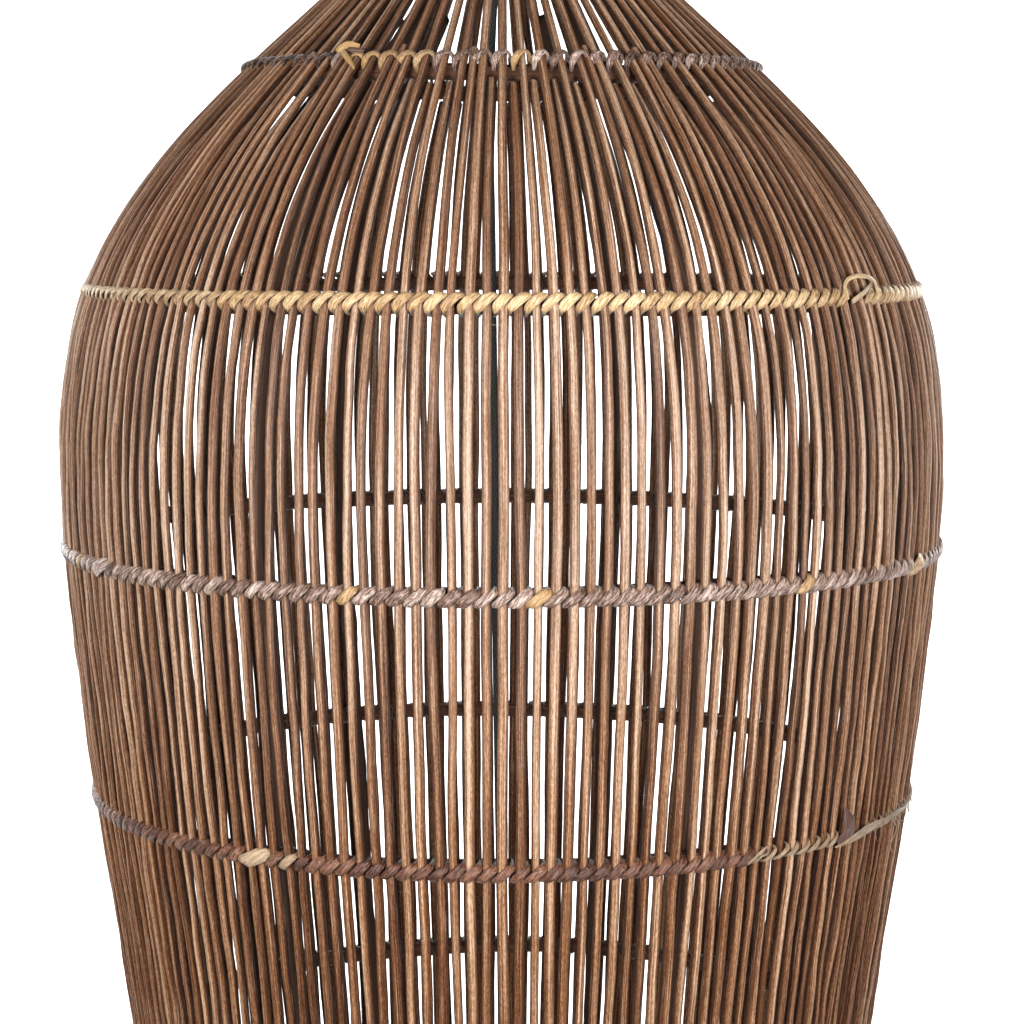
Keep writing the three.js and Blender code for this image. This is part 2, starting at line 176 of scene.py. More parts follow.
def wobble_ring(a, seed, low, high):
    """A smooth random curve of the angle a that closes on itself, about -1 to 1, of low to high waves."""
    rng = np.random.default_rng(seed)
    waves = range(low, high)
    total = sum(math.sqrt(1 / k) * np.sin(k * a + rng.uniform(0, TAU)) * rng.uniform(0.4, 1) for k in waves)
    return total / math.sqrt(sum(1 / k for k in waves))


# ---- the cage's shape -----------------------------------------------------------------------------
SHAPE_Z = -np.array([0.250, 0.266, 0.312, 0.345, 0.386, 0.440, 0.500, 0.540, 0.600, 0.660, 0.710, 0.780,
                     0.880, 0.980, 1.055, 1.150, 1.250])
SHAPE_R = np.array([0.0500, 0.0545, 0.0950, 0.1310, 0.1760, 0.2280, 0.2700, 0.2875, 0.3000, 0.3030, 0.3008,
                    0.2942, 0.2825, 0.2680, 0.2578, 0.2450, 0.2315])


def hermite(x, xs, ys):
    """A smooth curve through the points xs, ys, read at x."""
    h, d = np.diff(xs), np.diff(ys) / np.diff(xs)
    m = np.concatenate([[d[0]], (d[:-1] * h[1:] + d[1:] * h[:-1]) / (h[1:] + h[:-1]), [d[-1]]])
    k = np.clip(np.searchsorted(xs, x) - 1, 0, len(xs) - 2)
    t = (x - xs[k]) / h[k]
    return ((1 + 2 * t) * (1 - t) ** 2 * ys[k] + t * (1 - t) ** 2 * h[k] * m[k]
            + t * t * (3 - 2 * t) * ys[k + 1] + t * t * (t - 1) * h[k] * m[k + 1])


def radius_at(z):
    return hermite(np.atleast_1d(np.asarray(z, float)), SHAPE_Z[::-1], SHAPE_R[::-1])


def slope_at(z):
    return (radius_at(np.asarray(z) + 0.002) - radius_at(np.asarray(z) - 0.002)) / 0.004


def on_shell(azimuth, z, depth, lift=0.0):
    """Points that far under the canes' outside and lifted along it, with the out, up and side directions."""
    azimuth, z, depth = (np.asarray(v, float) for v in np.broadcast_arrays(azimuth, z, depth))
    shape = z.shape
    r, s = radius_at(z.ravel()).reshape(shape), slope_at(z.ravel()).reshape(shape)
    f = np.hypot(1, s)
    out_r, out_z = 1 / f, -s / f
    rr, zz = r - depth * out_r + lift * s / f, z - depth * out_z + lift / f
    sin, cos = np.sin(azimuth), np.cos(azimuth)
    point = np.stack([rr * sin, -rr * cos, zz], -1)
    out = np.stack([out_r * sin, -out_r * cos, out_z], -1)
    up = np.stack([s / f * sin, -s / f * cos, 1 / f], -1)
    side = np.stack([cos, sin, np.zeros_like(sin)], -1)
    return point, out, up, side


# Heights of the hoops' lashings, in metres below the ceiling.
HOOPS = {"neck": -0.259, "upper": -0.312, "shoulder": -0.386, "high": -0.534, "waist": -0.709, "low": -0.879,
         "foot": -1.065, "rim": -1.238}
CANES, PANELS = 180, 12
CANE_D = 0.0062
HOOP_D = 0.0106
PITCH = TAU / CANES
PHASE = -0.0117


# ---- materials ------------------------------------------------------------------------------------
class Nodes:
    """One material's node tree, built up through short calls that each return an output socket."""

    def __init__(self, name):
        self.mat = bpy.data.materials.new(name)
        self.mat.use_nodes = True
        self.tree = self.mat.node_tree
        self.shader = self.tree.nodes["Principled BSDF"]

    def new(self, kind, **settings):
        node = self.tree.nodes.new(kind)
        for key, value in settings.items():
            setattr(node, key, value)
        return node

    def link(self, a, b):
        self.tree.links.new(a, b)

    def put(self, socket, value):
        if isinstance(value, bpy.types.NodeSocket):
            self.link(value, socket)
        else:
            socket.default_value = value

    def attribute(self, name, vector=False):
        node = self.new("ShaderNodeAttribute", attribute_name=name)
        return node.outputs["Vector" if vector else "Fac"]

    def math(self, operation, a, b=0.0, c=0.0):
        node = self.new("ShaderNodeMath", operation=operation)
        for socket, value in zip(node.inputs, (a, b, c)):
            self.put(socket, value)
        return node.outputs[0]

    def vector(self, operation, a, b):
        node = self.new("ShaderNodeVectorMath", operation=operation)
        self.put(node.inputs[0], a)
        self.put(node.inputs[1], b)
        return node.outputs[0]

    def part(self, vector, axis):
        node = self.new("ShaderNodeSeparateXYZ")
        self.link(vector, node.inputs[0])
        return node.outputs[axis]

    def combine(self, x, y, z):
        node = self.new("ShaderNodeCombineXYZ")
        for socket, value in zip(node.inputs, (x, y, z)):
            self.put(socket, value)
        return node.outputs[0]

    def noise(self, vector, scale, detail=4.0, rough=0.55, distortion=0.0):
        node = self.new("ShaderNodeTexNoise")
        self.put(node.inputs["Vector"], vector)
        self.put(node.inputs["Scale"], scale)
        self.put(node.inputs["Detail"], detail)
        self.put(node.inputs["Roughness"], rough)
        self.put(node.inputs["Distortion"], distortion)
        return node.outputs["Fac"]

    def ramp(self, value, stops):
        node = self.new("ShaderNodeValToRGB")
        while len(node.color_ramp.elements) < len(stops):
            node.color_ramp.elements.new(0.5)
        for element, (at, color) in zip(node.color_ramp.elements, stops):
            element.position = at
            element.color = (*color, 1)
        self.put(node.inputs[0], value)
        return node.outputs[0]

    def mix(self, factor, a, b, blend="MIX"):
        node = self.new("ShaderNodeMix", data_type="RGBA", blend_type=blend)
        self.put(node.inputs["Factor"], factor)
        for socket, value in zip([s for s in node.inputs if s.type == "RGBA"], (a, b)):
            self.put(socket, (*value, 1) if isinstance(value, tuple) and len(value) == 3 else value)
        return [s for s in node.outputs if s.type == "RGBA"][0]

    def span(self, value, low, high, to_low, to_high):
        node = self.new("ShaderNodeMapRange")
        for socket, v in zip(node.inputs, (value, low, high, to_low, to_high)):
            self.put(socket, v)
        return node.outputs[0]

    def bump(self, height, distance, strength=1.0, normal=None):
        node = self.new("ShaderNodeBump")
        self.put(node.inputs["Strength"], strength)
        self.put(node.inputs["Distance"], distance)
        self.put(node.inputs["Height"], height)
        if normal is not None:
            self.link(normal, node.inputs["Normal"])
        return node.outputs[0]

    def finish(self, color, roughness, normal=None, specular=0.4, metallic=0.0):
        self.put(self.shader.inputs["Base Color"], color)
        self.put(self.shader.inputs["Roughness"], roughness)
        self.put(self.shader.inputs["Specular IOR Level"], specular)
        self.put(self.shader.inputs["Metallic"], metallic)
        if normal is not None:
            self.link(normal, self.shader.inputs["Normal"])
        return self.mat


def fibre_coordinates(m, across, along):
    """The piece's own length and girth as a vector, moved by its random number so that no two look alike."""
    ident = m.attribute("ident")
    shift = m.combine(*(m.math("MULTIPLY", ident, far) for far in (91.7, 57.3, 173.1)))
    return m.vector("ADD", m.vector("MULTIPLY", m.attribute("grain", True), (across, across, along)), shift)


def fibre_noise(m, across, along, low, high, detail=4, rough=0.6):
    """Noise stretched along the piece, spread so that most of it runs from 0 to 1."""
    noise = m.noise(fibre_coordinates(m, across, along), 1.0, detail, rough)
    return m.span(noise, low, high, 0, 1)


def cane_material():
    """Smoked, lacquered cane with long streaks, painted shade on each cane's sides (dark between canes),
    above the high hoop and low down, and a painted highlight and sheen along its outward side.
    """
    m = Nodes("cane")
    streak = fibre_noise(m, 2.5, 5.5, 0.39, 0.61)
    thread = fibre_noise(m, 6.0, 14, 0.40, 0.60)
    speck = fibre_noise(m, 4.5, 340, 0.41, 0.59, 4, 0.8)
    broad = fibre_noise(m, 0.5, 7, 0.36, 0.64, 3)
    outward = m.part(m.attribute("grain", True), 1)
    squared = m.math("MULTIPLY", outward, outward)
    # Painted highlight and shade: each cane is paler on its outward side, a little paler on its inward side,
    # and dark on its sides.
    painted_highlight_and_shade = m.math("MULTIPLY_ADD", outward, 0.07, m.math("MULTIPLY", squared, 0.38))
    height = m.part(m.new("ShaderNodeTexCoord").outputs["Object"], 2)
    # Painted shade by height: darkening from 0.56 m up to 0.50 m below the ceiling and from 0.66 m down to
    # 1.0 m, a little paler between.
    painted_height_shade = m.math("ADD", m.span(height, -0.56, -0.50, 0.0, -0.065), m.span(height, -0.66, -1.0, 0.03, -0.07))
    value = m.math("MULTIPLY_ADD", streak, 0.28, m.math("MULTIPLY", thread, 0.20))
    value = m.math("MULTIPLY_ADD", speck, 0.23, value)
    value = m.math("MULTIPLY_ADD", broad, 0.14, value)
    value = m.math("MULTIPLY_ADD", m.attribute("tone"), 0.30, m.math("ADD", value, painted_height_shade))
    value = m.math("SUBTRACT", m.math("ADD", value, painted_highlight_and_shade), 0.29)
    color = m.ramp(value, [
        (0.08, (0.016, 0.005, 0.002)), (0.28, (0.048, 0.015, 0.005)), (0.46, (0.118, 0.045, 0.018)),
        (0.62, (0.230, 0.112, 0.056)), (0.80, (0.43, 0.270, 0.165)), (0.96, (0.66, 0.50, 0.38))])
    # Painted sheen: a greyish pale film on each cane's outward side, fading towards the top and bottom, where
    # the colour is also made warmer.
    ends = m.math("ADD", m.span(height, -0.68, -0.88, 0, 1), m.span(height, -0.57, -0.50, 0, 0.5))
    painted_sheen = m.math("MULTIPLY", m.math("MAXIMUM", outward, 0), m.span(thread, 0, 1, 0.04, 0.34))
    color = m.mix(m.math("MULTIPLY", painted_sheen, m.math("SUBTRACT", 1, ends)), color, (0.44, 0.33, 0.27))
    color = m.mix(m.math("MULTIPLY", ends, 0.6), color, (1.0, 0.86, 0.70), "MULTIPLY")
    warm = fibre_noise(m, 1.1, 3.5, 0.50, 0.64, 3)
    color = m.mix(m.math("MULTIPLY", warm, 0.5), color, m.mix(0.5, color, (0.30, 0.115, 0.030)))
    pale = fibre_noise(m, 6, 24, 0.60, 0.70, 4)
    color = m.mix(m.math("MULTIPLY", pale, 0.5), color, (0.70, 0.53, 0.38))
    dark = fibre_noise(m, 5, 14, 0.40, 0.31, 4)
    color = m.mix(m.math("MULTIPLY", dark, 0.6), color, (0.030, 0.012, 0.006))
    color = m.mix(m.attribute("cut"), color, m.mix(speck, (0.10, 0.055, 0.030), (0.34, 0.23, 0.15)))
    rough = m.span(m.math("MULTIPLY_ADD", speck, 0.2, value), 0.35, 0.95, 0.66, 0.34)
    normal = m.bump(speck, 0.00018, 0.8, m.bump(thread, 0.0004, 0.8, m.bump(streak, 0.0007, 0.6)))
    return m.finish(color, rough, normal, 0.20)


def rough_material(name, dark, mid, light, across=5, along=14):
    """Unpeeled rattan: matt, scaly and dark."""
    m = Nodes(name)
    broad = m.noise(fibre_coordinates(m, 1.6, 11), 1.0, 3, 0.6)
    streak = m.noise(fibre_coordinates(m, across, along), 1.0, 6, 0.66)
    fine = m.noise(fibre_coordinates(m, 17, 42), 1.0, 4, 0.7)
    value = m.math("MULTIPLY_ADD", broad, 0.3, m.math("MULTIPLY", fine, 0.2))
    value = m.math("MULTIPLY_ADD", streak, 0.6, value)
    color = m.ramp(value, [(0.34, dark), (0.56, mid), (0.76, light)])
    normal = m.bump(fine, 0.0005, 0.9, m.bump(streak, 0.0013, 0.9))
    return m.finish(color, m.span(fine, 0.3, 0.7, 0.6, 0.9), normal, 0.3)


def lashing_material(name, dark, mid, light, accent):
    """Lacquered split peel: fibres along the strip, each stitch's own tone, and painted shade behind the
    hoop.
    """
    m = Nodes(name)
    streak = fibre_noise(m, 3.2, 24, 0.36, 0.64, 5)
    fine = fibre_noise(m, 9, 160, 0.36, 0.64, 4)
    value = m.math("MULTIPLY_ADD", streak, 0.46, m.math("MULTIPLY", fine, 0.20))
    value = m.math("MULTIPLY_ADD", m.attribute("tone"), 0.34, value)
    color = m.ramp(value, [(0.12, dark), (0.46, mid), (0.86, light)])
    shade = m.mix(streak, tuple(0.62 * c for c in accent), accent)
    color = m.mix(m.attribute("accent"), color, shade)
    # Painted shade: the legs behind the hoop, marked by inner, are darkened to a dark brown.
    color = m.mix(m.attribute("inner"), color, m.mix(streak, (0.034, 0.015, 0.009), (0.115, 0.058, 0.032)))
    normal = m.bump(fine, 0.00022, 0.8, m.bump(streak, 0.0008, 0.8))
    return m.finish(color, m.span(streak, 0, 1, 0.17, 0.38), normal, 0.7)


def braid_material():
    """Black textile braid, with painted shade between its strands."""
    m = Nodes("cord_textile")
    strand = m.attribute("strand")
    fuzz = m.noise(fibre_coordinates(m, 9, 1900), 1.0, 4, 0.7)
    base = m.ramp(m.math("MULTIPLY_ADD", fuzz, 0.5, m.math("MULTIPLY", strand, 0.5)),
                  [(0.20, (0.004, 0.005, 0.005)), (0.50, (0.016, 0.019, 0.018)),
                   (0.85, (0.070, 0.078, 0.074))])
    return m.finish(base, 0.86, m.bump(fuzz, 0.0002, 0.8), 0.25)


def object_noise(m, scale, detail=4.0, stretch=None):
    source = m.new("ShaderNodeTexCoord").outputs["Object"]
    if stretch:
        source = m.vector("MULTIPLY", source, stretch)
    return m.noise(source, scale, detail, 0.6)


def plastic_material(name, color, low, high, grain=2600):
    m = Nodes(name)
    fine, wide = object_noise(m, grain, 3), object_noise(m, 38, 4)
    darker, lighter = tuple(0.8 * c for c in color), tuple(min(1, 1.25 * c) for c in color)
    shade = m.mix(m.span(wide, 0.35, 0.65, 0, 1), darker, lighter)
    return m.finish(shade, m.span(wide, 0.35, 0.65, low, high), m.bump(fine, 0.00006, 0.6), 0.45)


def metal_material(name, color, low, high, stretch):
    m = Nodes(name)
    brushed, stain = object_noise(m, 900, 4, stretch), object_noise(m, 60, 4)
    shade = m.mix(m.span(stain, 0.4, 0.7, 0, 0.6), color, tuple(0.55 * c for c in color))
    shade = m.mix(m.span(brushed, 0.3, 0.7, 0, 0.35), shade, tuple(min(1, 1.2 * c) for c in color))
    return m.finish(shade, m.span(brushed, 0.3, 0.7, low, high), m.bump(brushed, 0.00005, 0.6), 0.5, 1.0)


def glass_material():
    m = Nodes("lamp_glass")
    smear = object_noise(m, 55, 4)
    m.put(m.shader.inputs["Transmission Weight"], 1.0)
    m.put(m.shader.inputs["IOR"], 1.46)
    tint = m.mix(m.span(smear, 0.4, 0.7, 0, 1), (0.98, 0.98, 0.97), (0.93, 0.94, 0.93))
    return m.finish(tint, m.span(smear, 0.4, 0.75, 0.0, 0.07), m.bump(smear, 0.0001, 0.2), 0.5)


CANE = cane_material()
HOOP = rough_material("hoop_rattan", (0.030, 0.011, 0.006), (0.120, 0.052, 0.027), (0.27, 0.140, 0.080))
RIB = rough_material("rib_rattan", (0.018, 0.008, 0.005), (0.060, 0.029, 0.017), (0.17, 0.095, 0.060), 7, 9)
STRAW = lashing_material("lashing_straw", (0.20, 0.095, 0.035), (0.52, 0.335, 0.160), (0.80, 0.61, 0.36),
                         (0.66, 0.55, 0.40))
GREY = lashing_material("lashing_grey", (0.034, 0.015, 0.009), (0.170, 0.092, 0.062), (0.66, 0.53, 0.45),
                        (0.60, 0.36, 0.14))
RUSSET = lashing_material("lashing_russet", (0.026, 0.009, 0.005), (0.100, 0.034, 0.017),
                          (0.28, 0.130, 0.070), (0.58, 0.42, 0.26))
BRAID = braid_material()
BLACK = plastic_material("black_plastic", (0.016, 0.016, 0.017), 0.38, 0.6)
BLACK_METAL = plastic_material("black_metal", (0.014, 0.014, 0.015), 0.3, 0.5, 900)
STEEL = metal_material("steel", (0.52, 0.52, 0.50), 0.24, 0.45, (1, 0.06, 1))
BRASS = metal_material("brass", (0.62, 0.42, 0.17), 0.2, 0.4, (1, 1, 0.1))
CERAMIC = plastic_material("ceramic", (0.74, 0.72, 0.67), 0.14, 0.3, 400)
GLASS = glass_material()


def dress(obj, material, slot, body, *nodes):
    obj.data.materials.clear()
    obj.data.materials.append(material)
    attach(obj, body)
    if nodes:
        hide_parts(*nodes)
    return obj


# ---- cord -----------------------------------------------------------------------------------------
CORD_D = 0.006
CORD_STEP = 0.0007
UPPER_LINE = [(0, 0, -0.0555), (0, 0, -0.275)]
LOWER_LINE = [(0, 0, -0.287), (-0.005, 0.001, -0.330), (-0.008, 0.001, -0.390), (-0.007, 0, -0.520),
              (-0.005, -0.001, -0.680), (-0.003, -0.001, -0.840), (-0.001, 0, -0.980), (0, 0, -1.076)]


def spread_line(points, spacing):
    """The smooth line through points that are listed by height, at that spacing."""
    p = np.asarray(points, float)
    n = max(int(round(abs(p[-1, 2] - p[0, 2]) / spacing)), 2)
    z = np.linspace(p[0, 2], p[-1, 2], n + 1)
    if len(p) == 2:
        return np.stack([np.interp(z, p[::-1, 2], p[::-1, k]) for k in (0, 1)] + [z], 1)
    return np.stack([hermite(z, p[::-1, 2], p[::-1, k]) for k in (0, 1)] + [z], 1)


def braided(name, line, diameter):
    """A tube with a woven skin: two families of strands cross in opposite turns, over one and under one."""
    sides, pitch, strands = 36, 0.0125, 8
    n = len(line)
    a, t = np.meshgrid(path_lengths(line), ring_angles(sides), indexing="ij")
    right = strands * (t / TAU + a / pitch)
    left = strands * (t / TAU - a / pitch)
    ridge_r, ridge_l = abs(np.sin(math.pi * right)), abs(np.sin(math.pi * left))
    over = np.cos(math.pi * (np.floor(right) + np.floor(left))) > 0
    height = np.where(over, ridge_r, ridge_l) ** 0.7
    radius = diameter / 2 * (0.93 + 0.10 * height)
    tangent = unit(np.gradient(line, axis=0))
    side = unit(np.cross(tangent, [0, 1.0, 0.0]))
    out = np.cross(side, tangent)
    verts = line[:, None] + (radius * np.cos(t))[..., None] * side[:, None]
    verts = verts + (radius * np.sin(t))[..., None] * out[:, None]
    grain = np.stack([np.cos(t), np.sin(t), a], -1).reshape(-1, 3)
    verts = np.concatenate([verts.reshape(-1, 3), line[:1], line[-1:]])
    last = (n - 1) * sides
    tris = [[n * sides, k, (k + 1) % sides] for k in range(sides)]
    tris += [[n * sides + 1, last + (k + 1) % sides, last + k] for k in range(sides)]
    attrs = {
        "grain": np.concatenate([grain, grain[:1], grain[-1:]]),
        "strand": np.concatenate([height.ravel(), [0.5, 0.5]]),
        "ident": np.zeros(n * sides + 2),
    }
    return piece(name, verts, grid_quads(n, sides)[:, ::-1], tris, attrs)


for name, ends, body, lay in (("upper_cord", UPPER_LINE, "hanging_cord", "taut"),
                              ("lower_cord", LOWER_LINE, "holder", "hanging")):
    line = spread_line(ends, CORD_STEP)
    cord = dress(braided(f"{name}_braid", line, CORD_D), BRAID, "cord_textile", body, name)


# ---- canes ----------------------------------------------------------------------------------------
CANE_SIDES = 12
PASSING_SHARE = 0.38
KEY_HEIGHTS = [-1.25, -0.50, -0.386, -0.25]


def cane_line(i):
    """One cane's centre line from its cut top to the rim, its two directions, and its thickness along it.

    Every other cane is short. Some of those pass over the shoulder hoop, and the rest end tucked under it.
    """
    tuck = 0.0
    if i % 2:
        passing = RNG.random() < PASSING_SHARE
        top = (-0.3775 if passing else -0.3975) + RNG.uniform(-0.0022, 0.0022)
        tuck = 0.0 if passing else 0.0046
    elif i % 4:
        top = -0.3035 + RNG.uniform(-0.002, 0.002)
    else:
        top = -0.2515 + RNG.uniform(-0.0015, 0.0012)
    foot = -1.2485 + RNG.uniform(-0.0015, 0.002)
    rows = int((top - foot) / 0.0058)
    z = np.linspace(top, foot, rows)
    bend = np.interp(z, KEY_HEIGHTS, [1, 1, 0.0, 0.0])
    drift = 0.0009 * smooth_noise(z, 0.50, 1000 + i) + 0.00022 * smooth_noise(z, 0.16, 3000 + i)
    drift = drift + 0.0006 * PULL[i] * np.sin(TAU * (z + 0.3) / 0.35 + PULL_TURN[i])
    tight = np.interp(z, KEY_HEIGHTS, [0.8, 0.9, 0.12, 0.05])
    azimuth = PHASE + (i + 0.5) * PITCH + drift * tight / radius_at(z)
    taper = np.interp(z, [-1.25, -0.6, -0.386, -0.25], [1.03, 1.0, 0.89, 0.92])
    thick = CANE_D * (0.955 + 0.13 * THICK[i]) * taper
    thick = thick * (1 + 0.016 * smooth_noise(z, 0.06, 5000 + i))
    bulge = 0.0007 * smooth_noise(z, 0.25, 7000 + i) * bend + 0.00025 * smooth_noise(z, 0.07, 9000 + i) * bend
    bulge = bulge + tuck * np.interp(z, [-0.50, -0.44, -0.40], [0, 0.25, 1])
    point, out, _, side = on_shell(azimuth, z, CANE_D / 2 + bulge)
    tangent = unit(np.gradient(point, axis=0))
    side = unit(side - tangent * (side * tangent).sum(1, keepdims=True))
    return point, side, unit(np.cross(tangent, side)), thick


def add_cut_end(parts, at, neighbour, side, out, thick, flip, i):
    """The flat sawn end of cane i with its small chamfer; flip is 1 at the top and -1 at the foot."""
    n = CANE_SIDES
    turn = ring_angles(n)
    ring = at + thick / 2 * (np.cos(turn)[:, None] * side + np.sin(turn)[:, None] * out)
    inner = at + (ring - at) * 0.97 + flip * 0.0003 * unit(at - neighbour)
    fan = [[2 * n, n + (k + 1) % n, n + k][::flip] for k in range(n)]
    collar = [[k, (k + 1) % n, n + (k + 1) % n, n + k][::-flip] for k in range(n)]
    grain = np.concatenate([np.stack([np.cos(turn), np.sin(turn), np.zeros(n)], 1)] * 2 + [np.zeros((1, 3))])
    parts.add(np.concatenate([ring, inner, inner.mean(0, keepdims=True)]), collar, fan, grain=grain,
              ident=IDENT[i], tone=TONE[i], cut=np.concatenate([np.full(n, 0.3), np.ones(n + 1)]))


THICK = RNG.uniform(-1, 1, CANES)
PULL = RNG.normal(0, 0.9, CANES)
PULL_TURN = np.repeat(RNG.uniform(0, TAU, CANES // 2), 2)
PULL[1::2] = -PULL[::2] * RNG.uniform(0.3, 1.1, CANES // 2)
IDENT = RNG.permutation(CANES) / CANES
TONE = RNG.uniform(0, 1, CANES)
for p in range(PANELS):
    parts = Parts()
    for i in range(p * CANES // PANELS, (p + 1) * CANES // PANELS):
        point, side, out, thick = cane_line(i)
        cut = np.zeros(len(point))
        swept(parts, point, side, out, thick / 2, thick / 2, CANE_SIDES, cap=False, ident=IDENT[i],
              tone=TONE[i], cut=cut)
        for end, flip in ((0, 1), (-1, -1)):
            add_cut_end(parts, point[end], point[end + flip], side[end], out[end], thick[end], flip, i)
    dress(parts.build(f"canes_{p + 1:02d}"), CANE, "cane", "shade", f"cane_panel_{p + 1:02d}")

# ---- hoops and ribs -------------------------------------------------------------------------------
HOOP_GAP = 0.0004
HOOP_DEPTH = CANE_D + HOOP_GAP + HOOP_D / 2
HOOP_STEPS, HOOP_SIDES = 420, 16
NECK_ROD_D, NECK_ROD_DEPTH, NECK_RING_R, NECK_RING_Z = 0.0096, 0.0112, 0.0389, -0.262
for order, (name, z) in enumerate(HOOPS.items()):
    is_neck = name == "neck"
    a = ring_angles(HOOP_STEPS)
    rod, depth = (NECK_ROD_D, NECK_ROD_DEPTH) if is_neck else (HOOP_D, HOOP_DEPTH)
    lift = 0.0012 * wobble_ring(a, 60 + order, 2, 7)
    point, out, up, _ = on_shell(a, z, depth + 0.0003 * wobble_ring(a, 80 + order, 3, 30), lift)
    if is_neck:
        point = np.stack([NECK_RING_R * np.sin(a), -NECK_RING_R * np.cos(a), NECK_RING_Z + 0 * a], 1)
    girth = rod / 2 * (1 + 0.05 * wobble_ring(a, 90 + order, 5, 60))[:, None]
    twist = wobble_ring(a, 95 + order, 2, 12)[:, None]
    lumps = 1 + 0.05 * np.sin(3 * ring_angles(HOOP_SIDES)[None] + 3 * twist)
    parts = Parts()
    girth = girth * lumps
    swept(parts, point, up, out, girth, girth, HOOP_SIDES, closed=True, ident=0.11 + 0.097 * order)
    dress(parts.build("neck_ring" if is_neck else f"{name}_hoop_rod"), HOOP, "hoop_rattan", "shade",
          "neck_ring" if is_neck else f"{name}_hoop")

RIB_AZIMUTHS = [26, 72, 116, 162, 207, 233, 282, 328]
RIB_SIDES, RIB_HALF, RIB_DEPTH = 20, 0.0056, 0.0266
for k, degrees in enumerate(RIB_AZIMUTHS):
    z = np.linspace(-0.326, -1.2455, 240)
    drift = 0.0016 * smooth_noise(z, 0.5, 200 + k)
    azimuth = math.radians(degrees) + drift / radius_at(z)
    point, out, _, side = on_shell(azimuth, z, RIB_DEPTH + 0.0004 * smooth_noise(z, 0.2, 230 + k))
    tangent = unit(np.gradient(point, axis=0))
    side = unit(side - tangent * (side * tangent).sum(1, keepdims=True))
    out = unit(np.cross(tangent, side))
    turn = ring_angles(RIB_SIDES)
    ridges = 1 + 0.05 * np.sin(5 * turn[None] + 2.5 * smooth_noise(z, 0.3, 260 + k)[:, None])
    ridges = ridges + 0.045 * np.sin(9 * turn[None] - 3 * smooth_noise(z, 0.17, 290 + k)[:, None])
    girth = RIB_HALF * (1 + 0.05 * smooth_noise(z, 0.05, 320 + k))[:, None] * ridges
    parts = Parts()
    swept(parts, point, side, out, girth, girth, RIB_SIDES, ident=0.05 + 0.11 * k)
    dress(parts.build(f"rib_{k + 1}_pole"), RIB, "rib_rattan", "shade", f"rib_{k + 1}")


# ---- lashings -------------------------------------------------------------------------------------
BEHIND_HOOP = CANE_D + HOOP_GAP + HOOP_D
FRONT_STEPS, BACK_STEPS = 20, 8
STRAY_ACCENT = 0.8
ROOMY_ARC = 0.0104


def in_range(azimuth, ranges):
    """The value of the first (low, high, value) in degrees that holds the azimuth, or None."""
    degrees = (math.degrees(azimuth) + 180) % 360 - 180
    return next((value for low, high, value in ranges if low <= degrees <= high), None)


def lashing(z, count, first, half_width, seed, reach=0.0050, lean=0.54, bow=0.0008, drop=0.0,
            deep=BEHIND_HOOP, accents=(), slim=(), behind=(), wide=(), dim=(), stray=0.0):
    """One split peel sewn round the hoop: it slants up across each cane and comes back behind the hoop.

    reach, bow and drop shape a stitch's rise, and lean its slant. accents, slim, behind and dim hold
    (low, high, value) ranges in degrees: the accent colour, a slimmer peel, a stretch that runs behind the
    hoop, and a darker tone. wide lists the stitches that cross two canes, and stray is the share of the
    stitches that take the accent colour by chance.
    """
    rng = np.random.default_rng(seed)
    pitch = TAU / count
    arc = pitch * float(radius_at(z)[0])
    middle = deep / 2
    s = np.concatenate([np.arange(FRONT_STEPS) / FRONT_STEPS, 1 + np.arange(BACK_STEPS) / BACK_STEPS])
    front = s < 1
    phi = -math.pi / 2 + math.pi * s
    c, sn = np.cos(phi), np.sin(phi)
    rows = []
    k = 0
    while k < count:
        span = 2 if k in wide and k + 1 < count else 1
        centre = first + (k + span / 2) * pitch
        accent = in_range(centre, accents) or 0.0
        if accent == 0.0 and rng.random() < stray:
            accent = STRAY_ACCENT
        accent *= rng.uniform(0.7, 1.0)
        hidden = in_range(centre, behind) is not None
        narrow = in_range(centre, slim) or 1.0
        tall = reach * (1 + rng.normal(0, 0.035)) * (1 if narrow == 1.0 else 0.86)
        tilt = lean * (1 + rng.normal(0, 0.07))
        u = np.where(front, k + span * (0.5 + tilt * sn), k + span + (tilt - 0.5) * span * sn)
        if hidden:
            u, height, depth = k + s / 2, 0.002 * sn, np.full(len(s), deep + 0.0010)
        else:
            push = 0.0013 + rng.uniform(0, 0.0004)
            height = tall * sn + bow * np.maximum(c, 0) - drop
            over, under = np.maximum(c, 0) ** 0.5 * (middle + push), abs(c) ** 0.8 * (middle + 0.0010)
            depth = middle - np.where(front, over, -under)
        girth = half_width * narrow * rng.uniform(0.88, 1.10) * (1 if span == 1 else 1.45)
        thick = 0.00110 * (1 if narrow == 1.0 else 0.75)
        tone = rng.uniform(0, 1) + (in_range(centre, dim) or 0.0)
        same = [np.full(len(s), value) for value in (tone, accent, girth, thick)]
        rows.append(np.stack([first + u * pitch, height, depth, *same, 1.0 - front]))
        k += span
    azimuths, heights, depths, tones, marks, widths, thicks, inner = np.concatenate(rows, 1)
    # Painted shade mask: the legs behind the hoop and every point that lies deep are marked for darkening.
    inner = np.maximum(inner, np.interp(depths, [middle * 0.9, middle * 1.3], [0, 1]))
    widths = (widths + np.roll(widths, 3) + np.roll(widths, -3)) / 3
    room = arc / ROOMY_ARC if count == CANES else 1.0
    narrowing = np.interp(depths, [0.0006, CANE_D * 0.55, middle, deep], [1, 0.70, 0.42, 0.5])
    widths = widths * narrowing * min(room, 1.0)
    point = on_shell(azimuths, z, depths, heights)[0]
    along = unit(np.roll(point, -1, 0) - np.roll(point, 1, 0))
    centre = on_shell(azimuths, z, middle, 0 * heights)[0]
    away = point - centre
    away = unit(away - along * (away * along).sum(1, keepdims=True))
    across = unit(np.cross(along, away))
    parts = Parts()
    swept(parts, point, across, away, widths, thicks, 12, closed=True, power=0.85,
          ident=np.interp(np.arange(len(point)), [0, len(point)], [0, 6.0]), tone=tones, accent=marks,
          inner=inner)
    return parts


